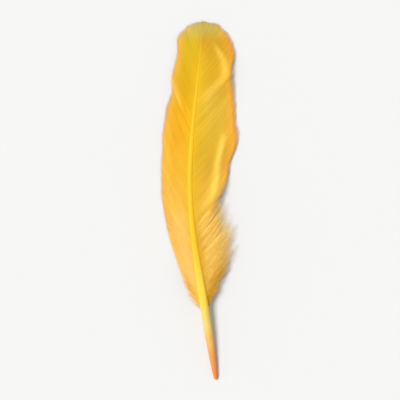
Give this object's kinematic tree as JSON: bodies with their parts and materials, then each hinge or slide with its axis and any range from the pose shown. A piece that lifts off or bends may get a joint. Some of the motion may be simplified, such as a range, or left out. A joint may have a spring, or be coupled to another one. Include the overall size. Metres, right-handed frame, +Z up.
{
  "type": "goose quill feather",
  "caption": "Dyed goose wing feather lying upper side up: a tapering arched shaft with a bare quill, a narrow and a wide vane, and loose down at the base of the wide one.",
  "frame": {"origin": "middle of the feather's bounding box, on the surface that it lies on", "axes": "+Y runs up the feather from the quill's end to the tip, +X points to the wide vane's side, +Z points up from the surface, out of the feather's upper side"},
  "size_m": [0.034, 0.1572, 0.0093],
  "materials": {
    "vane": "silky dyed barbs, golden yellow, olive at the tip",
    "shaft": "smooth dyed keratin, satin",
    "down": "loose fluffy dyed down"
  },
  "bodies": {
    "root": {"feather": "vane"}
  },
  "joints": []
}
